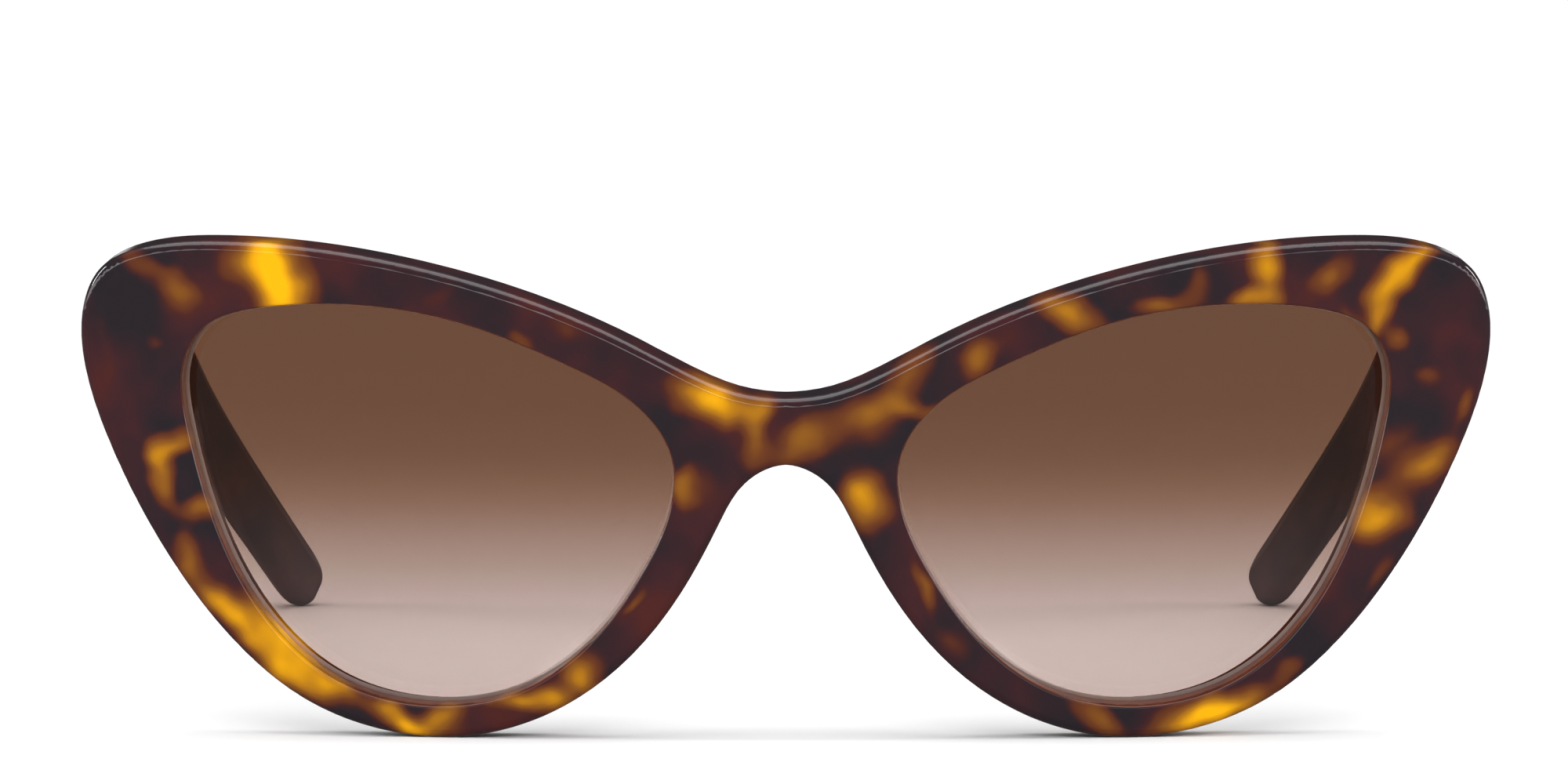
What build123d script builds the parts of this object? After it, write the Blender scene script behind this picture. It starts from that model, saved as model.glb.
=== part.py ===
"""Cat eye sunglasses in acetate, with gradient lenses and five-barrel hinges.

+X is the wearer's left, +Y runs back along the temples and +Z is up, in millimetres. The glasses stand
open on a table at z = 0, on the two lower rims and the two temple tips, and the origin lies on the table
under the middle of the whole object. Every paired piece is made for the wearer's left and then mirrored.

The front is drawn in sheet coordinates: u is the distance round the bow from the middle, v is the height
up the leaning front, and a depth is measured back from the front face along the sheet's own normal.
"""

from build123d import *
from math import cos, radians, sin
import os

os.makedirs("parts", exist_ok=True)

# Front: an acetate sheet bowed round an upright axis behind it, its top leaning forward.
bow_radius = 325.0
front_thick = 5.5
front_lean = 5.0
bridge_y = -69.755
foot_lift = -0.266
edge_round = 0.9
rim_round = 0.25
eye_middle_u = 38.0

# Plain cutters and blanks reach past the front by these, so that no face of theirs is left on it.
blank_wide = 180.0
blank_deep = 110.0
blank_under = 8.0
blank_high = 75.0
outline_ahead = -12.0
outline_behind = 18.0
eye_ahead = -3.0
eye_behind = 12.0
pad_cut_behind = 16.0

# Half of the front's outline, from the top of the bridge round to the top of the nose arch.
half_outline = [
    (0, 36.65), (5.0, 37.2), (10.4, 39.35), (17.5, 43.0), (27.5, 47.1), (38.5, 50.15), (50.0, 52.0),
    (60.5, 52.45), (68.3, 51.5), (72.8, 49.1), (74.75, 44.6), (74.6, 39.0), (72.2, 31.2), (66.9, 20.7),
    (59.6, 10.8), (50.8, 3.6), (42.2, 0.55), (34.0, 0.15), (26.0, 2.3), (18.4, 7.15), (12.0, 14.5),
    (7.4, 22.8), (4.2, 27.75), (0, 29.5),
]

# Opening of one eye's rim, from its nose side over the top.
eye_opening = [
    (11.8, 27.5), (12.75, 32.1), (16.3, 36.3), (23.2, 40.15), (32.2, 43.75), (41.4, 45.75), (49.3, 46.1),
    (56.5, 45.35), (61.6, 43.2), (63.8, 39.1), (63.4, 32.8), (60.6, 22.8), (55.25, 12.7), (47.6, 5.95),
    (37.5, 3.45), (28.2, 5.15), (20.6, 10.6), (14.8, 18.8),
]

# Bevel behind the nose arch: half of its edge where it starts, and where it leaves the back face.
bevel_start_depth = 2.0
bevel_end_depth = 6.8
bevel_start = [(17.6, 6.6), (11.6, 14.2), (7.1, 22.6), (4.0, 27.5), (0, 29.2)]
bevel_end = [(18.0, 6.8), (13.1, 15.1), (8.9, 23.6), (5.4, 29.2), (0, 31.5)]

# Nose pads: depth, u, v, length and width of each section, all turned along the side of the nose.
pad_turn = 29.0
pad_sections = [
    (4.0, 11.7, 19.0, 14.0, 4.6), (7.2, 11.5, 18.8, 13.6, 4.4), (9.4, 11.2, 18.5, 12.2, 3.6),
    (10.6, 11.0, 18.3, 10.0, 2.4),
]
pad_round = 0.5
pad_rim_gap = 0.8

# Lenses: spherical, set in a groove that runs behind the opening's edge all round.
lens_radius = 150.0
lens_thick = 1.8
lens_middle = (39.0, 27.0)
lens_depth = 1.2
groove_depth = 0.5
lens_bevel_wide = 1.0
lens_bevel_deep = 0.45

# Hinges: five barrels on one screw, square to the temple, whose butt end closes on the front's end block.
temple_droop = 3.8
hinge_height = 42.0
butt_y = bridge_y + 13.1
axis_x = 65.5
axis_behind_butt = 1.75
block_inner = -1.5
block_outer = 9.0
block_half_high = 7.0
block_run_in = 9.0
block_round = 0.6
barrel_radius = 1.55
barrel_pitch = 1.6
barrel_high = 1.54
screw_radius = 0.7
screw_clearance = 0.03
screw_head_radius = 1.15
screw_head_high = 0.7
slot_wide = 0.3
slot_long = 3.5
slot_deep = 0.35
sleeve_radius = 1.05
foot_sink = 1.2
foot_inner = -0.9
foot_outer = 2.4
foot_half_high = 4.1
lug_half_wide = 0.9
leaf_start = 2.0
leaf_end = 12.5
leaf_sink = 0.9
leaf_proud = 0.25
leaf_half_high = 3.0
lug_short = 0.6
lug_reach = 3.2
rivet_radius = 0.6
front_rivet_out = 1.65
front_rivet_levels = (-2.6, 2.6)
front_rivet_long = 4.5
temple_rivet_backs = (5.2, 9.8)
temple_rivet_long = 3.4

# Temples: flat strips over a wire core, bent down and inwards behind the ear.
temple_inner_x = 67.2
butt_gap = 0.12
# Each station: distance behind the butt face, x, z, thickness and height.
temple_stations = [
    (butt_gap, 69.3, 42.0, 4.2, 12.4),
    (5.0, 69.35, 41.68, 4.2, 12.3),
    (10.0, 69.4, 41.34, 4.15, 12.1),
    (16.0, 69.45, 40.95, 4.1, 11.8),
    (36.0, 69.8, 39.6, 4.0, 10.8),
    (58.0, 70.5, 38.05, 3.95, 9.8),
    (76.0, 71.1, 36.75, 3.95, 9.2),
    (86.0, 71.5, 35.75, 4.0, 8.9),
    (93.0, 71.6, 34.1, 4.0, 8.6),
    (99.0, 71.1, 30.9, 4.05, 8.2),
    (105.0, 69.3, 25.5, 4.1, 7.6),
    (112.0, 65.95, 18.4, 4.2, 7.1),
    (119.0, 61.95, 11.1, 4.2, 6.7),
    (124.5, 58.72, 5.36, 4.2, 6.5),
    (126.6, 57.49, 3.17, 4.1, 6.2),
    (127.7, 56.84, 2.02, 3.5, 5.2),
    (128.2, 56.55, 1.5, 2.3, 3.6),
]
butt_corner_share = 0.3
tip_corner_share = 0.46
core_radius = 0.8
core_first_station = 3
core_last_station = 11


def bow_point(u, v, depth):
    """The point of the bowed sheet at (u, v), this deep behind its front face, in the front's own frame."""
    turn = u / bow_radius
    reach = bow_radius - depth
    return Vector(reach * sin(turn), bow_radius - reach * cos(turn), v)


lean_up = Vector(0, -sin(radians(front_lean)), cos(radians(front_lean)))
front_base = Plane(origin=(0, bridge_y, foot_lift), x_dir=(1, 0, 0), z_dir=lean_up)
eye_turn = eye_middle_u / bow_radius
eye_along = Vector(cos(eye_turn), sin(eye_turn), 0)
back_dir = Vector(0, cos(radians(temple_droop)), -sin(radians(temple_droop)))
screw_dir = Vector(0, sin(radians(temple_droop)), cos(radians(temple_droop)))
hinge_middle = Vector(axis_x, butt_y + axis_behind_butt, hinge_height)


def eye_plane(depth):
    """The plane square to the eye's middle, this deep in the sheet; its x is u less the middle's u."""
    middle = bow_point(eye_middle_u, 0, depth)
    origin = front_base.from_local_coords(middle)
    across = front_base.from_local_coords(middle + eye_along) - origin
    return Plane(origin=origin, x_dir=across, z_dir=across.cross(lean_up))


def upright(depth):
    """The leaning plane across the front, this far behind the bridge; its x is u and its y is v."""
    middle = front_base.from_local_coords(Vector(0, depth, 0))
    return Plane(origin=middle, x_dir=front_base.x_dir, z_dir=-front_base.y_dir)


def hinge_level(high):
    """The plane square to the screw, this far up it; its x is outwards and its y is back."""
    return Plane(origin=hinge_middle + screw_dir * high, x_dir=(1, 0, 0), z_dir=screw_dir)


def hinge_wall(back):
    """The plane across the temple, this far behind the screw, facing forward; its y is up the screw."""
    return Plane(origin=hinge_middle + back_dir * back, x_dir=(1, 0, 0), z_dir=-back_dir)


def hinge_side(out):
    """The plane along the temple, this far outside the screw, facing out; its x is back and its y is up."""
    return Plane(origin=hinge_middle + Vector(out, 0, 0), x_dir=back_dir, z_dir=(1, 0, 0))


def bowed_sheet(near, far):
    """A plain bowed sheet between two depths, larger than the front all round."""
    with BuildPart() as sheet:
        with BuildSketch(front_base.offset(-blank_under)):
            with Locations((0, bow_radius)):
                Circle(bow_radius - near)
                Circle(bow_radius - far, mode=Mode.SUBTRACT)
            Rectangle(blank_wide, blank_deep, mode=Mode.INTERSECT)
        extrude(amount=blank_high)
    return sheet.part


def mirrored_points(points):
    """The same sheet points on the other side of the middle."""
    return [(-u, v) for u, v in points]


def grown(points, by):
    """The points of a closed outline, each moved square to its neighbours' line by the given distance."""
    moved = []
    for before, here, after in zip(points[-1:] + points[:-1], points, points[1:] + points[:1]):
        along = Vector(*after) - Vector(*before)
        outward = along.rotate(Axis.Z, 90).normalized() * by
        moved.append((here[0] + outward.X, here[1] + outward.Y))
    return moved


def eye_prism(points, near, far, closed):
    """A prism through the sheet between two depths, square to the eye's middle."""
    with BuildPart() as prism:
        with BuildSketch(eye_plane(near)):
            with BuildLine():
                rim = Spline(*[(u - eye_middle_u, v) for u, v in points], periodic=closed)
                if not closed:
                    Line(rim @ 0, rim @ 1)
            make_face()
        extrude(amount=near - far)
    return prism.part


def lens_blank():
    """The lens before its bevel, which is also the shape of the groove that holds it."""
    centre = front_base.from_local_coords(bow_point(*lens_middle, lens_depth + lens_radius))
    with BuildPart() as blank:
        add(eye_prism(grown(eye_opening, groove_depth), eye_ahead, eye_behind, closed=True))
        with Locations(centre):
            Sphere(lens_radius, mode=Mode.INTERSECT)
            Sphere(lens_radius - lens_thick, mode=Mode.SUBTRACT)
    return blank.part


def hinge_block(x_from, x_to, back_from, back_to, half_high):
    """A plain block in the hinge's own directions, evenly above and below its middle."""
    with BuildPart() as block:
        with BuildSketch(hinge_level(-half_high)):
            with Locations(((x_from + x_to) / 2, (back_from + back_to) / 2)):
                Rectangle(x_to - x_from, back_to - back_from)
        extrude(amount=2 * half_high)
    return block.part


def screw_bore(radius, bottom, top):
    """A cylinder round the screw's axis between two levels."""
    with BuildPart() as bore:
        with BuildSketch(hinge_level(bottom)):
            Circle(radius)
        extrude(amount=top - bottom)
    return bore.part


def nose_edge(points, depth):
    """One end of the nose bevel's cutter: the arch's curve, closed below."""
    with BuildSketch(upright(depth)) as edge:
        with BuildLine():
            arch = Spline(*(points + mirrored_points(points[-2::-1])))
            Line(arch @ 0, arch @ 1)
        make_face()
    return edge.sketch


def pad_section(depth, u, v, length, width):
    """One oval slice of a nose pad, its length lying along the side of the nose."""
    with BuildSketch(upright(depth)) as section:
        with Locations((u, v)):
            Ellipse(width / 2, length / 2, rotation=pad_turn)
    return section.sketch


def temple_plane(index):
    """The plane across the temple at one station, facing forward; its x is level and points outwards."""
    back, out, high = temple_stations[index][0:3]
    before = temple_stations[max(index - 1, 0)]
    after = temple_stations[min(index + 1, len(temple_stations) - 1)]
    along = Vector(after[1] - before[1], after[0] - before[0], after[2] - before[2])
    if index == 0:
        along = back_dir
    return Plane(origin=(out, butt_y + back, high), x_dir=(along.Y, -along.X, 0), z_dir=-along)


def temple_section(index):
    """The temple's rounded outline at one station, rounder towards the tip."""
    thick, high = temple_stations[index][3:5]
    tip_share = index / (len(temple_stations) - 1)
    corner_share = butt_corner_share + (tip_corner_share - butt_corner_share) * tip_share
    with BuildSketch(temple_plane(index)) as section:
        RectangleRounded(thick, high, thick * corner_share)
    return section.sketch


def core_section(index):
    """The core wire's round section at one station."""
    with BuildSketch(temple_plane(index)) as section:
        Circle(core_radius)
    return section.sketch


lens_groove = lens_blank()
past_top = mirrored_points(half_outline[2:0:-1])
past_arch = mirrored_points(half_outline[-2:-4:-1])
outline_prism = eye_prism(past_top + half_outline + past_arch, outline_ahead, outline_behind, closed=False)
barrel_levels = [barrel_pitch * (index - 2) for index in range(5)]
top_face = barrel_levels[-1] + barrel_high / 2
bottom_face = barrel_levels[0] - barrel_high / 2

with BuildPart() as lens_left:
    add(lens_groove)
    lens_front = lens_left.faces().filter_by(GeomType.SPHERE).sort_by(Axis.Y)[0]
    chamfer(lens_front.edges(), length=lens_bevel_wide, length2=lens_bevel_deep, reference=lens_front)

with BuildPart() as front_rivets_left:
    with BuildSketch(hinge_wall(-axis_behind_butt)):
        with Locations(*[(front_rivet_out, level) for level in front_rivet_levels]):
            Circle(rivet_radius)
    extrude(amount=front_rivet_long)

with BuildPart() as temple_rivets_left:
    with BuildSketch(hinge_side(temple_inner_x - axis_x - leaf_proud)):
        with Locations(*[(back, 0) for back in temple_rivet_backs]):
            Circle(rivet_radius)
    extrude(amount=temple_rivet_long)

with BuildPart() as front_hinge_left:
    foot_face = -axis_behind_butt
    add(hinge_block(foot_inner, foot_outer, foot_face - foot_sink, foot_face, foot_half_high))
    for level in barrel_levels[0::2]:
        with BuildSketch(hinge_level(level - barrel_high / 2)):
            Circle(barrel_radius)
            with Locations((0, -axis_behind_butt / 2)):
                Rectangle(2 * lug_half_wide, axis_behind_butt)
        extrude(amount=barrel_high)
    add(screw_bore(screw_radius + screw_clearance, bottom_face, top_face), mode=Mode.SUBTRACT)
    head_room = screw_head_radius + screw_clearance
    add(screw_bore(head_room, top_face - screw_head_high, top_face), mode=Mode.SUBTRACT)
    add(screw_bore(sleeve_radius, bottom_face, bottom_face + barrel_high), mode=Mode.SUBTRACT)
    add(front_rivets_left.part, mode=Mode.SUBTRACT)

with BuildPart() as temple_hinge_left:
    leaf_inner = temple_inner_x - axis_x - leaf_proud
    leaf_outer = temple_inner_x - axis_x + leaf_sink
    lug_out = leaf_outer - lug_short
    add(hinge_block(leaf_inner, leaf_outer, leaf_start, leaf_end, leaf_half_high))
    for level in barrel_levels[1::2]:
        with BuildSketch(hinge_level(level - barrel_high / 2)):
            Circle(barrel_radius)
            with Locations((lug_out / 2, lug_reach / 2)):
                Rectangle(lug_out, lug_reach)
        extrude(amount=barrel_high)
    add(screw_bore(screw_radius + screw_clearance, bottom_face, top_face), mode=Mode.SUBTRACT)
    add(temple_rivets_left.part, mode=Mode.SUBTRACT)

with BuildPart() as hinge_screw_left:
    add(screw_bore(screw_radius, bottom_face, top_face - screw_head_high))
    add(screw_bore(screw_head_radius, top_face - screw_head_high, top_face))
    with BuildSketch(hinge_level(top_face)):
        Rectangle(slot_wide, slot_long)
    extrude(amount=-slot_deep, mode=Mode.SUBTRACT)

with BuildPart() as screw_sleeve_left:
    add(screw_bore(sleeve_radius, bottom_face, bottom_face + barrel_high))
    add(screw_bore(screw_radius, bottom_face, bottom_face + barrel_high), mode=Mode.SUBTRACT)

with BuildPart() as end_block:
    block_back = -axis_behind_butt
    add(hinge_block(block_inner, block_outer, block_back - block_run_in, block_back, block_half_high))
    upright_edges = end_block.edges().filter_by(Axis((0, 0, 0), tuple(screw_dir)))
    fillet(upright_edges.sort_by(Axis.X)[:2], block_round)
    add(outline_prism, mode=Mode.INTERSECT)
    add(bowed_sheet(front_thick / 2, front_thick * 2), mode=Mode.INTERSECT)

with BuildPart() as front_half:
    add(outline_prism)
    add(bowed_sheet(0, front_thick), mode=Mode.INTERSECT)
    fillet(front_half.edges().filter_by(lambda edge: edge.length > 100), edge_round)
    split(bisect_by=Plane.YZ, keep=Keep.TOP)
    add(end_block.part)
    add(eye_prism(eye_opening, eye_ahead, eye_behind, closed=True), mode=Mode.SUBTRACT)
    fillet(front_half.edges().filter_by(lambda edge: 120 < edge.length < 160), rim_round)
    add(lens_groove, mode=Mode.SUBTRACT)
    add(front_hinge_left.part, mode=Mode.SUBTRACT)
    add(front_rivets_left.part, mode=Mode.SUBTRACT)

with BuildPart() as front_frame:
    add(front_half.part)
    mirror(front_half.part, about=Plane.YZ)
    bevel_ends = [nose_edge(bevel_start, bevel_start_depth), nose_edge(bevel_end, bevel_end_depth)]
    loft(sections=bevel_ends, ruled=True, mode=Mode.SUBTRACT)

with BuildPart() as nose_pad_left:
    loft(sections=[pad_section(*section) for section in pad_sections])
    fillet(nose_pad_left.faces().sort_by(Axis.Y)[-1].edges(), pad_round)
    add(front_frame.part, mode=Mode.SUBTRACT)
    rim_clear = eye_prism(grown(eye_opening, pad_rim_gap), eye_ahead, pad_cut_behind, closed=True)
    add(rim_clear, mode=Mode.SUBTRACT)

with BuildPart() as temple_core_left:
    core_sections = [core_section(index) for index in range(core_first_station, core_last_station + 1)]
    loft(sections=core_sections, ruled=True)

with BuildPart() as temple_left:
    loft(sections=[temple_section(index) for index in range(len(temple_stations))])
    add(temple_core_left.part, mode=Mode.SUBTRACT)
    add(temple_hinge_left.part, mode=Mode.SUBTRACT)
    add(temple_rivets_left.part, mode=Mode.SUBTRACT)

paired = {
    "lens": lens_left,
    "nose_pad": nose_pad_left,
    "front_hinge": front_hinge_left,
    "front_hinge_rivets": front_rivets_left,
    "hinge_screw": hinge_screw_left,
    "screw_sleeve": screw_sleeve_left,
    "temple": temple_left,
    "temple_core": temple_core_left,
    "temple_hinge": temple_hinge_left,
    "temple_hinge_rivets": temple_rivets_left,
}
front_frame.part.label = "front_frame"
export_step(front_frame.part, "parts/front_frame.step")
for name, piece in paired.items():
    piece.part.label = name + "_left"
    export_step(piece.part, "parts/" + name + "_left.step")
    with BuildPart() as other_side:
        mirror(piece.part, about=Plane.YZ)
    other_side.part.label = name + "_right"
    export_step(other_side.part, "parts/" + name + "_right.step")
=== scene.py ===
"""Looks of the cat eye sunglasses.

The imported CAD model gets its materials, a pale floor, soft lights and the camera. The glasses are all rigid,
so every CAD node stays as it is. Materials work in millimetres of the row's frame with the temples open:
X runs to the wearer's left, Y back along the temples and Z up.
"""

import math

import bpy
import mathutils
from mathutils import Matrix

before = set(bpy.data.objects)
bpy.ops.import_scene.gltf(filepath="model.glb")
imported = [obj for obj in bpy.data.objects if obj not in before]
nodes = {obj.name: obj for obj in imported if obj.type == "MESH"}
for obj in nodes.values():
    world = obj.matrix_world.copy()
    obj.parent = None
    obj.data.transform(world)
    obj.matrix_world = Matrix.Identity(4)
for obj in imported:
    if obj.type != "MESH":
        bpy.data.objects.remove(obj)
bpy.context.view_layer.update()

# The CAD's front sheet: the y of its face at the middle of the floor line, its bow radius and its lean.
FRONT_Y = -69.755
BOW_RADIUS = 325.0
LEAN = math.tan(math.radians(5.0))

# The CAD's left lens: the centre of the sphere that its face lies on, that sphere's radius and its thickness.
LENS_CENTRE = (20.806, 79.7615, 39.9181)
LENS_RADIUS = 150.0
LENS_THICK = 1.8

# A point this far inside a lens's front or back sphere counts as its bevel or edge.
FRONT_MARGIN = 0.03
BACK_MARGIN = 0.05

# The middle of the left eye opening, seen from the front.
EYE_MIDDLE = (39.0, 0.0, 27.0)

ACETATE_INDEX = 1.49
LENS_INDEX = 1.5

# A lens mirrors this many times as much as plain glass, and its ground bevel is this opaque.
LENS_MIRROR = 1.8
BEVEL_COVER = 0.6

# The lens tint runs from the floor to this height.
TINT_HEIGHT = 53.0

# The painted red-brown glow of a rim's inner wall, standing in for the light through the lens, and its largest
# share.
PAINTED_WALL_GLOW = (0.125, 0.032, 0.013, 1.0)
PAINTED_GLOW_SHARE = 0.75

# Amber patches in the front's acetate: x, z, half length, half width, slope in degrees and strength.
PATCHES = [
    (-53.5, 49, 3.3, 2.1, -65, 1), (-53, 46, 1.8, 1.3, -80, 0.6), (-56.5, 50, 1.9, 1.5, 20, 0.55),
    (-63.5, 47, 1.7, 1.3, -60, 0.62), (-67.5, 49.5, 2, 0.8, -37, 0.34), (-66.5, 42, 0.8, 0.6, 0, 0.3),
    (-72, 41.5, 4.6, 0.6, 90, 0.14), (-71, 38, 1.8, 0.8, 90, 0.14), (-37, 46.5, 2, 0.8, 30, 0.25),
    (-64.5, 31, 2, 0.75, 25, 0.6), (-66, 28.5, 1.9, 0.9, 90, 0.68), (-65.5, 26, 1.2, 0.6, -70, 0.5),
    (-61.5, 24, 2, 1.1, 10, 0.55), (-63, 19, 1.5, 1.1, -70, 0.6), (-60, 14.5, 2, 0.9, -48, 0.72),
    (-53, 10, 3.9, 1.9, -48, 1), (-57, 11.5, 1.9, 0.9, -50, 0.78), (-52.5, 7.5, 2.3, 1.3, -35, 0.9),
    (-47.5, 5.5, 1.9, 0.7, -30, 0.6), (-41.5, 2.5, 1.9, 0.8, -28, 0.78), (-39.5, 1, 1.3, 0.5, -15, 0.6),
    (-36.5, 2.5, 2, 0.8, 20, 0.62), (-49, 5, 2.6, 0.8, -28, 0.32), (-37, 1, 2.4, 0.8, 0, 0.36),
    (-7.5, 36, 3, 1.6, -22, 0.86), (-2.5, 35.5, 1.3, 1, 0, 0.5), (-3, 32, 2.1, 0.8, 80, 0.48),
    (2, 32, 2.7, 1.2, 30, 0.52), (7, 33.5, 3.2, 2, 0, 0.33), (12.5, 38, 3, 1.3, 58, 0.58),
    (9, 35, 1.9, 1, 0, 0.46), (13, 35, 1.7, 0.7, -20, 0.48), (15.5, 35, 0.9, 0.5, 35, 0.4),
    (20, 40, 1.5, 1.1, 70, 0.52), (8.5, 25.5, 2.1, 1.7, -50, 0.92), (-10.5, 26.5, 1.7, 0.9, 90, 0.62),
    (-8.5, 27, 1.8, 1.4, 90, 0.32), (-27.5, 42, 1.1, 0.8, -40, 0.38), (-23, 43.5, 1.4, 1, -20, 0.3),
    (-2.5, 30, 1.8, 0.7, 0, 0.18), (30, 45, 2.8, 1.2, -30, 0.7), (39, 46, 2, 0.7, 8, 0.52),
    (43, 48, 1.6, 1, 80, 0.38), (50.5, 49.5, 2.6, 1.1, 100, 0.76), (49, 46.5, 1.7, 0.7, 0, 0.66),
    (57.5, 49, 2.2, 1.1, 45, 0.52), (66, 50.5, 3, 1, 38, 0.76), (63, 47.5, 2.3, 1.1, 62, 0.62),
    (62.5, 44, 1.8, 0.8, 72, 0.56), (64.5, 42, 0.9, 0.7, 90, 0.5), (67.5, 38, 1, 0.9, 0, 0.38),
    (71.5, 35, 1.6, 0.5, 75, 0.4), (67.5, 28.5, 2.6, 1.3, 32, 0.62), (59, 44.5, 1.2, 0.6, -30, 0.3),
    (21.5, 42, 2.2, 1.5, 20, 0.3), (62, 23.5, 2.2, 1.8, 0, 0.88), (62.5, 17, 1.5, 0.6, 60, 0.36),
    (57, 15.5, 1.6, 0.8, 60, 0.27), (53, 7, 1.3, 0.7, 40, 0.42), (44.5, 2.5, 4.2, 1.1, 17, 0.95),
    (32.5, 2.5, 2, 0.9, -42, 0.58), (14.5, 16.5, 2.1, 0.5, -65, 0.46), (17.5, 10.5, 1.7, 1, -50, 0.26),
    (-16, 14.5, 1.5, 0.5, 50, 0.42), (-21.5, 7, 1.8, 1.5, 60, 0.68), (-24.5, 4, 1.2, 1, 0, 0.76),
    (-27.5, 4, 2.4, 0.9, -8, 0.74), (63.5, 30.5, 2.6, 1.5, 40, 0.28), (-9.5, 18.5, 2, 0.9, 60, 0.22),
]

# How far a patch reaches through the sheet, and how many times its half size it takes to fade out.
PATCH_DEPTH = 9.0
PATCH_FADE = 2.7

# The camera, in metres and degrees: its distance ahead of the front, height, tilt below level and lens.
CAMERA_AHEAD = 1.1
CAMERA_HEIGHT = 0.126
CAMERA_TILT = 4.64
CAMERA_LENS = 241.56


class Graph:
    """Short calls for building one node tree."""

    def __init__(self, tree):
        self.tree = tree
        tree.nodes.clear()

    def put(self, kind, inputs=None, **settings):
        """A new node. Each input is either a socket to link from or a constant."""
        node = self.tree.nodes.new("ShaderNode" + kind)
        for key, value in settings.items():
            setattr(node, key, value)
        for key, value in (inputs or {}).items():
            if isinstance(value, bpy.types.NodeSocket):
                self.tree.links.new(value, node.inputs[key])
            else:
                node.inputs[key].default_value = value
        return node

    def math(self, operation, first, second=0.0, third=0.0):
        return self.put("Math", {0: first, 1: second, 2: third}, operation=operation).outputs[0]

    def vector(self, operation, first, second=(0, 0, 0)):
        return self.put("VectorMath", {0: first, 1: second}, operation=operation).outputs[0]

    def measure(self, operation, first, second=(0, 0, 0)):
        """A single number worked out from vectors, such as LENGTH, DISTANCE or DOT_PRODUCT."""
        return self.put("VectorMath", {0: first, 1: second}, operation=operation).outputs["Value"]

    def axes(self, place):
        return self.put("SeparateXYZ", {0: place}).outputs

    def spread(self, value, low, high, start=0.0, end=1.0):
        """value eased from start at low to end at high, and held beyond them."""
        sockets = {"Value": value, 1: low, 2: high, 3: start, 4: end}
        return self.put("MapRange", sockets, interpolation_type="SMOOTHSTEP").outputs[0]

    def mix(self, share, first, second):
        return self.put("Mix", {0: share, 6: first, 7: second}, data_type="RGBA").outputs[2]

    def blend(self, share, first, second):
        """Two shaders mixed."""
        return self.put("MixShader", {0: share, 1: first, 2: second}).outputs[0]

    def ramp(self, value, stops):
        node = self.put("ValToRGB", {0: value})
        marks = node.color_ramp.elements
        while len(marks) < len(stops):
            marks.new(1.0)
        for mark, (place, colour) in zip(marks, stops):
            mark.position = place
            mark.color = (*colour, 1.0)
        return node.outputs[0]

    def noise(self, place, scale, detail, roughness, output="Fac"):
        sockets = {"Vector": place, "Scale": scale, "Detail": detail, "Roughness": roughness}
        return self.put("TexNoise", sockets).outputs[output]

    def millimetres(self):
        """The surface point in millimetres of the row's frame."""
        place = self.put("TexCoord").outputs["Object"]
        return self.put("VectorMath", {0: place, "Scale": 1000.0}, operation="SCALE").outputs[0]

    def finish(self, surface):
        kind = "OutputWorld" if surface.node.type == "BACKGROUND" else "OutputMaterial"
        self.put(kind, {"Surface": surface})


def new_material(name):
    material = bpy.data.materials.new(name)
    material.use_nodes = True
    return material, Graph(material.node_tree)


def acetate_ground(graph, place):
    """The dark ground of the tortoise: near-black, aubergine and red-brown clouds."""
    clouds = graph.noise(place, 0.115, 2.0, 0.45)
    return graph.ramp(clouds, [
        (0.38, (0.0165, 0.0125, 0.0155)), (0.52, (0.030, 0.0125, 0.0155)),
        (0.62, (0.044, 0.0130, 0.0150)), (0.75, (0.060, 0.0140, 0.0120)),
    ])


def tortoise(graph, ground, strength):
    """Amber over the ground, each patch running from a red rim to a golden middle as strength grows."""
    amber = graph.ramp(strength, [
        (0.0, (0.036, 0.011, 0.0125)), (0.22, (0.060, 0.015, 0.011)), (0.42, (0.115, 0.034, 0.010)),
        (0.62, (0.220, 0.082, 0.009)), (0.80, (0.420, 0.175, 0.005)), (1.0, (0.800, 0.380, 0.002)),
    ])
    return graph.mix(graph.spread(strength, 0.08, 0.32), ground, amber)


def polished(graph, place, colour, roughness):
    """Polished acetate over a colour: fine hairlines and a faint unevenness left by the polishing drum."""
    swirl = graph.noise(place, 0.35, 3.0, 0.6)
    stretched = graph.put("Mapping", {"Vector": place, "Rotation": (0.3, 0.5, 0.9), "Scale": (0.4, 9.0, 9.0)})
    hairs = graph.spread(graph.noise(stretched.outputs[0], 1.1, 2.0, 0.7), 0.62, 0.8)
    rough = graph.math("ADD", graph.spread(swirl, 0.3, 0.7, roughness, roughness + 0.035),
                       graph.math("MULTIPLY", hairs, 0.06))
    height = graph.math("ADD", swirl, graph.math("MULTIPLY", hairs, -0.08))
    bump = graph.put("Bump", {"Strength": 0.05, "Distance": 0.0002, "Height": height})
    shader = graph.put("BsdfPrincipled", {
        "Base Color": colour, "Roughness": rough, "IOR": ACETATE_INDEX, "Normal": bump.outputs[0],
    })
    graph.finish(shader.outputs[0])


def warped(graph, place, scale, reach):
    """The point moved a little by noise, so that shapes drawn on it get soft uneven edges."""
    push = graph.vector("SUBTRACT", graph.noise(place, scale, 1.0, 0.5, "Color"), (0.5, 0.5, 0.5))
    return graph.vector("ADD", place, graph.vector("MULTIPLY", push, (reach, reach, reach)))


def painted_glow_mask(graph, place):
    """How strongly a point takes the painted red-brown glow, set where a rim's inner wall faces the eye
    opening, standing in for the light through the lens.
    """
    side = graph.put("CombineXYZ", {0: graph.math("SIGN", graph.axes(place)[0]), 1: 1.0, 2: 1.0}).outputs[0]
    normal = graph.vector("MULTIPLY", graph.put("NewGeometry").outputs["Normal"], side)
    inwards = graph.vector("SUBTRACT", EYE_MIDDLE, graph.vector("MULTIPLY", place, side))
    inwards = graph.vector("NORMALIZE", graph.vector("MULTIPLY", inwards, (1, 0, 1)))
    facing = graph.measure("DOT_PRODUCT", normal, inwards)
    return graph.math("MULTIPLY", graph.spread(facing, 0.35, 0.8), PAINTED_GLOW_SHARE)


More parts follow.
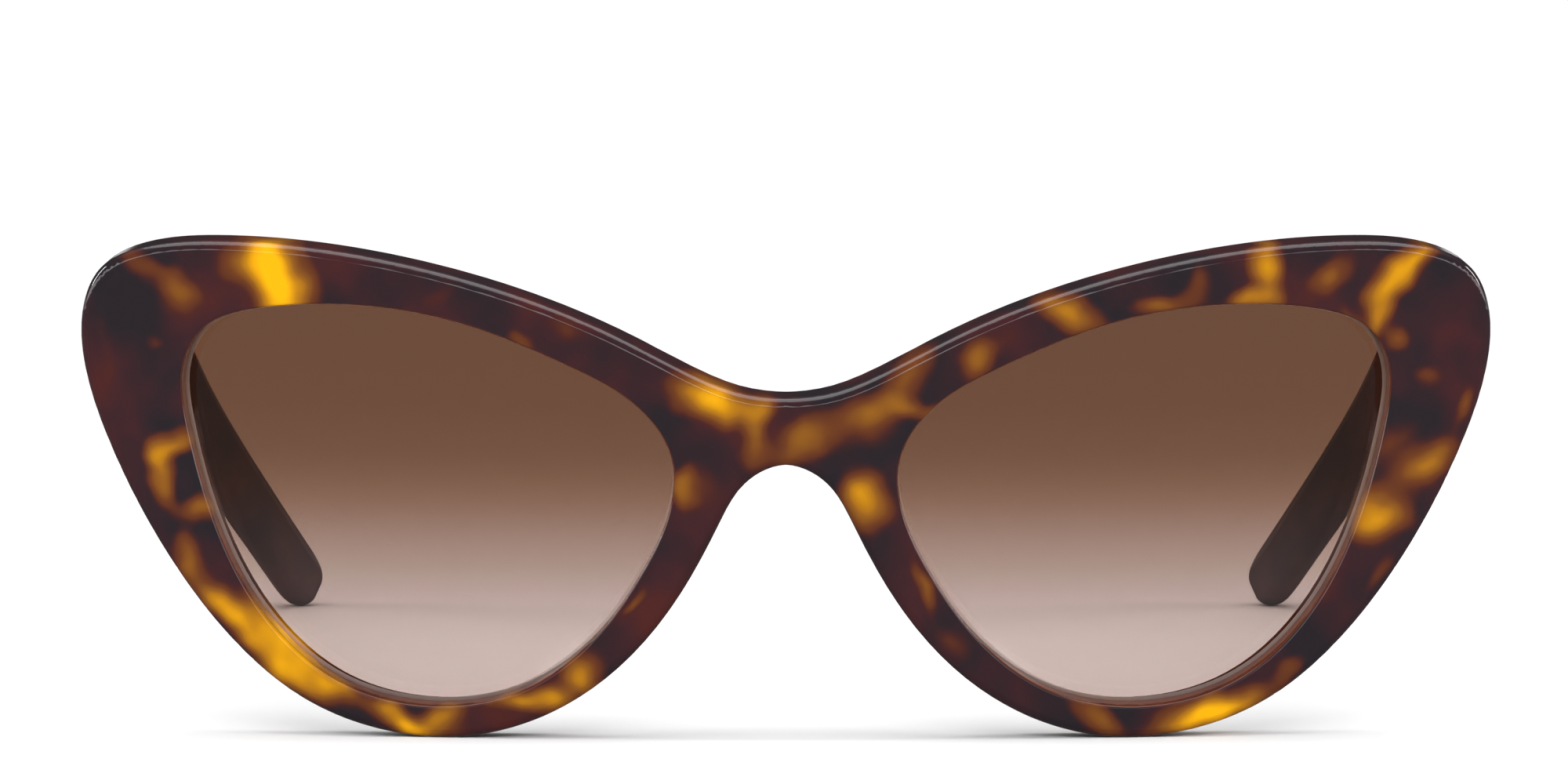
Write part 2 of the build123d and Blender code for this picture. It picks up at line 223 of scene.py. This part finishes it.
def placed_patches(graph, place):
    """How strongly the listed amber patches show at a point, from 0 to 1."""
    clear = 1.0
    for x, z, long, wide, slope, strength in PATCHES:
        face = FRONT_Y + x * x / (2 * BOW_RADIUS) - LEAN * z
        local = graph.put("Mapping", {
            "Vector": place, "Location": (x, face, z), "Rotation": (0, -math.radians(slope), 0),
            "Scale": (long, PATCH_DEPTH, wide),
        }, vector_type="TEXTURE").outputs[0]
        away = graph.measure("LENGTH", local)
        clear = graph.math("MULTIPLY", clear, graph.spread(away, PATCH_FADE, 0.0, 1.0, 1.0 - strength))
    return graph.math("SUBTRACT", 1.0, clear)


def depth_behind_face(graph, place):
    """How far back a point lies from the front's bowed and leaning face."""
    axes = graph.axes(place)
    bow = graph.math("DIVIDE", graph.math("MULTIPLY", axes[0], axes[0]), 2 * BOW_RADIUS)
    lean = graph.math("MULTIPLY", axes[2], LEAN)
    return graph.math("ADD", graph.math("SUBTRACT", axes[1], bow), graph.math("SUBTRACT", lean, FRONT_Y))


def make_front_acetate():
    """Tortoise acetate of the front: placed amber patches, joined at the back by others made from noise, over
    a ground with a painted red-brown glow on the rims' inner walls.
    """
    material, graph = new_material("front_tortoise_acetate")
    place = graph.millimetres()
    moved = warped(graph, place, 0.2, 2.4)
    blotches = graph.spread(graph.noise(place, 0.17, 1.0, 0.4), 0.3, 0.6, 0.85, 1.1)
    strength = graph.math("MULTIPLY", placed_patches(graph, moved), blotches)
    behind = graph.math("MULTIPLY", graph.spread(depth_behind_face(graph, place), 2.5, 6.0), 0.8)
    wild = graph.spread(graph.noise(moved, 0.1, 1.0, 0.4), 0.56, 0.74)
    strength = graph.math("MAXIMUM", strength, graph.math("MULTIPLY", wild, behind))
    grain = graph.noise(place, 0.5, 3.0, 0.55)
    strength = graph.math("MULTIPLY_ADD", graph.math("SUBTRACT", grain, 0.5), 0.06, strength)
    # Painted glow: the rims' inner walls are coloured red-brown as if lit through the lens.
    ground = graph.mix(painted_glow_mask(graph, place), acetate_ground(graph, place), PAINTED_WALL_GLOW)
    polished(graph, place, tortoise(graph, ground, strength), 0.045)
    return material


def make_temple_acetate():
    """Tortoise acetate of the temples: amber towards the hinge, dark slate to burgundy at the tips."""
    material, graph = new_material("temple_tortoise_acetate")
    place = graph.millimetres()
    moved = warped(graph, place, 0.2, 4.0)
    back = graph.axes(place)[1]
    wild = graph.spread(graph.noise(moved, 0.085, 1.0, 0.4), 0.53, 0.72)
    strength = graph.math("MULTIPLY", wild, graph.spread(back, 5.0, 40.0, 0.95, 0.0))
    slate = graph.ramp(graph.noise(place, 0.09, 2.0, 0.5), [
        (0.35, (0.078, 0.073, 0.088)), (0.52, (0.104, 0.083, 0.090)), (0.7, (0.140, 0.085, 0.085)),
    ])
    ground = graph.mix(graph.spread(back, 0.0, 35.0), acetate_ground(graph, place), slate)
    polished(graph, place, tortoise(graph, ground, strength), 0.12)
    return material


def lens_bevel(graph, place, side):
    """1 on a lens's ground bevel and edge, between its front and back spheres, and 0 on its faces."""
    centre = (side * LENS_CENTRE[0], LENS_CENTRE[1], LENS_CENTRE[2])
    away = graph.measure("DISTANCE", place, centre)
    off_front = graph.math("LESS_THAN", away, LENS_RADIUS - FRONT_MARGIN)
    off_back = graph.math("GREATER_THAN", away, LENS_RADIUS - LENS_THICK + BACK_MARGIN)
    return graph.math("MULTIPLY", off_front, off_back)


def make_lens(side):
    """Tinted lens: brown above, fading to pale pink-brown, with a lighter ground bevel round its front edge.

    The light isn't bent on its way through. From about 42 degrees off its axis the far face of the lens
    reflects everything, so the lens looks black from there.
    """
    material, graph = new_material("gradient_lens_" + ("left" if side > 0 else "right"))
    place = graph.millimetres()
    tint = graph.ramp(graph.math("DIVIDE", graph.axes(place)[2], TINT_HEIGHT), [
        (0.10, (0.785, 0.701, 0.672)), (0.19, (0.745, 0.664, 0.633)), (0.24, (0.705, 0.623, 0.590)),
        (0.285, (0.665, 0.573, 0.545)), (0.33, (0.617, 0.524, 0.480)), (0.38, (0.578, 0.468, 0.424)),
        (0.425, (0.533, 0.418, 0.364)), (0.47, (0.487, 0.359, 0.297)), (0.52, (0.442, 0.316, 0.247)),
        (0.565, (0.412, 0.287, 0.220)), (0.66, (0.402, 0.271, 0.203)), (1.0, (0.400, 0.270, 0.204)),
    ])
    pane = graph.put("BsdfTransparent", {"Color": tint}).outputs[0]
    ground = graph.put("BsdfDiffuse", {"Color": graph.mix(0.5, tint, (0.62, 0.42, 0.35, 1.0))}).outputs[0]
    cover = graph.math("MULTIPLY", lens_bevel(graph, place, side), BEVEL_COVER)
    gloss = graph.put("BsdfGlossy", {"Color": (0.95, 0.95, 1.0, 1.0), "Roughness": 0.03}).outputs[0]
    shine = graph.math("MULTIPLY", graph.put("Fresnel", {"IOR": LENS_INDEX}).outputs[0], LENS_MIRROR)
    shine = graph.math("MINIMUM", shine, 1.0)
    graph.finish(graph.blend(shine, graph.blend(cover, pane, ground), gloss))
    return material


def make_metal(name, colour, roughness, grain):
    """Worked metal, brighter and smoother on its sharp edges. grain is how fast its fine lines vary along X, Y
    and Z.
    """
    material, graph = new_material(name)
    place = graph.millimetres()
    lines = graph.put("Mapping", {"Vector": place, "Scale": grain})
    brushed = graph.noise(lines.outputs[0], 1.0, 3.0, 0.6)
    edge = graph.spread(graph.put("NewGeometry").outputs["Pointiness"], 0.5, 0.6)
    dull = tuple(0.62 * c for c in colour)
    bright = tuple(min(1.0, 1.18 * c) for c in colour)
    tone = graph.mix(graph.spread(brushed, 0.3, 0.7), (*dull, 1.0), (*colour, 1.0))
    tone = graph.mix(edge, tone, (*bright, 1.0))
    rough = graph.math("SUBTRACT", graph.spread(brushed, 0.25, 0.75, roughness + 0.12, roughness),
                       graph.math("MULTIPLY", edge, 0.08))
    bump = graph.put("Bump", {"Strength": 0.15, "Distance": 0.00003, "Height": brushed})
    shader = graph.put("BsdfPrincipled", {
        "Base Color": tone, "Metallic": 1.0, "Roughness": rough, "Normal": bump.outputs[0],
    })
    graph.finish(shader.outputs[0])
    return material


def make_nylon():
    """Off-white moulded nylon with a fine grain."""
    material, graph = new_material("moulded_nylon")
    place = graph.millimetres()
    grain = graph.noise(place, 6.0, 3.0, 0.6)
    tone = graph.mix(graph.spread(grain, 0.3, 0.7), (0.62, 0.60, 0.53, 1.0), (0.70, 0.69, 0.63, 1.0))
    bump = graph.put("Bump", {"Strength": 0.2, "Distance": 0.00005, "Height": grain})
    shader = graph.put("BsdfPrincipled", {
        "Base Color": tone, "Roughness": graph.spread(grain, 0.3, 0.7, 0.38, 0.5), "Normal": bump.outputs[0],
    })
    graph.finish(shader.outputs[0])
    return material


def dress_pieces():
    """Gives every CAD node its material. The lenses throw no shadow."""
    front_acetate = make_front_acetate()
    temple_acetate = make_temple_acetate()
    nickel = make_metal("nickel_silver", (0.70, 0.64, 0.52), 0.24, (14.0, 1.2, 1.2))
    rivet = make_metal("rivet_metal", (0.68, 0.63, 0.53), 0.20, (9.0, 9.0, 2.0))
    steel = make_metal("screw_steel", (0.60, 0.60, 0.60), 0.22, (9.0, 2.0, 9.0))
    wire = make_metal("drawn_wire", (0.62, 0.58, 0.50), 0.25, (10.0, 1.0, 10.0))
    nylon = make_nylon()
    looks = {"front_frame": front_acetate}
    for side, sign in (("left", 1), ("right", -1)):
        looks["nose_pad_" + side] = front_acetate
        looks["lens_" + side] = make_lens(sign)
        looks["front_hinge_" + side] = nickel
        looks["temple_hinge_" + side] = nickel
        looks["front_hinge_rivets_" + side] = rivet
        looks["temple_hinge_rivets_" + side] = rivet
        looks["hinge_screw_" + side] = steel
        looks["screw_sleeve_" + side] = nylon
        looks["temple_" + side] = temple_acetate
        looks["temple_core_" + side] = wire
        nodes["lens_" + side].visible_shadow = False
    for name, piece in nodes.items():
        piece.data.materials.clear()
        piece.data.materials.append(looks[name])


def make_floor():
    """A wide white floor.

    It is lit and shaded near the glasses, even white further off, and dark in their mirror image.
    """
    half = 6.0
    corners = [(-half, -half, 0), (half, -half, 0), (half, half, 0), (-half, half, 0)]
    mesh = bpy.data.meshes.new("floor")
    mesh.from_pydata(corners, [], [(0, 1, 2, 3)])
    floor = bpy.data.objects.new("floor", mesh)
    bpy.context.scene.collection.objects.link(floor)
    material, graph = new_material("white_floor")
    away = graph.measure("LENGTH", graph.put("TexCoord").outputs["Object"])
    lit = graph.put("BsdfDiffuse", {"Color": (0.71, 0.71, 0.71, 1.0)}).outputs[0]
    even = graph.put("Emission", {"Color": (1.0, 1.0, 1.0, 1.0), "Strength": 1.05}).outputs[0]
    dark = graph.put("Emission", {"Color": (0.11, 0.11, 0.11, 1.0), "Strength": 1.0}).outputs[0]
    white = graph.blend(graph.spread(away, 0.2, 0.55), lit, even)
    graph.finish(graph.blend(graph.put("LightPath").outputs["Is Glossy Ray"], white, dark))
    mesh.materials.append(material)


def make_world():
    """The studio round the glasses.

    It is white to the camera and an even soft light to matt surfaces. Mirrors see a dark room with a bright
    band low on the camera's side, a fainter one low on the far side and a soft glow overhead.
    """
    world = bpy.data.worlds.new("studio")
    bpy.context.scene.world = world
    world.use_nodes = True
    graph = Graph(world.node_tree)
    path = graph.put("LightPath").outputs
    axes = graph.axes(graph.put("TexCoord").outputs["Generated"])
    ahead_foot = graph.spread(axes[2], 0.0, 0.03)
    ahead_band = graph.math("MULTIPLY", ahead_foot, graph.spread(axes[2], 0.2, 0.12, 0.0, 3.6))
    behind_band = graph.spread(axes[2], 0.10, 0.04, 0.0, 0.6)
    behind = graph.spread(axes[1], 0.0, 0.3)
    overhead = graph.spread(axes[2], 0.62, 0.9, 0.025, 0.45)
    bands = graph.math("MULTIPLY_ADD", graph.math("SUBTRACT", behind_band, ahead_band), behind, ahead_band)
    mirrored = graph.math("ADD", overhead, bands)
    colour = graph.mix(path["Is Glossy Ray"], (0.62, 0.62, 0.63, 1.0), mirrored)
    colour = graph.mix(path["Is Camera Ray"], colour, (1.1, 1.1, 1.1, 1.0))
    graph.finish(graph.put("Background", {"Color": colour, "Strength": 1.0}).outputs[0])


def add_area(name, place, target, wide, deep, power):
    lamp = bpy.data.lights.new(name, "AREA")
    lamp.shape = "RECTANGLE"
    lamp.size = wide
    lamp.size_y = deep
    lamp.energy = power
    holder = bpy.data.objects.new(name, lamp)
    bpy.context.scene.collection.objects.link(holder)
    holder.location = place
    holder.rotation_euler = (mathutils.Vector(target) - holder.location).to_track_quat("-Z", "Y").to_euler()
    return holder


def make_lights():
    """A large lamp overhead, one in front that mirrors don't see, and a bright strip at each side."""
    middle = (0.0, -0.03, 0.02)
    add_area("overhead", (0.0, -0.15, 1.3), middle, 1.6, 1.2, 16.0)
    front = add_area("front", (0.0, -1.6, 1.0), middle, 1.6, 0.8, 22.0)
    front.visible_glossy = False
    for side in (-1, 1):
        add_area("strip", (side * 1.1, -0.05, 0.45), middle, 0.14, 0.42, 4.5)


def make_camera():
    camera = bpy.data.objects.new("camera", bpy.data.cameras.new("camera"))
    bpy.context.scene.collection.objects.link(camera)
    camera.data.sensor_width = 36.0
    camera.data.lens = CAMERA_LENS
    camera.data.clip_start = 0.01
    camera.data.clip_end = 50.0
    camera.location = (-0.0002, FRONT_Y / 1000.0 - CAMERA_AHEAD, CAMERA_HEIGHT)
    camera.rotation_euler = (math.radians(90.0 - CAMERA_TILT), 0.0, 0.0)
    bpy.context.scene.camera = camera


dress_pieces()
make_floor()
make_world()
make_lights()
make_camera()
bpy.context.scene.view_settings.view_transform = "Standard"
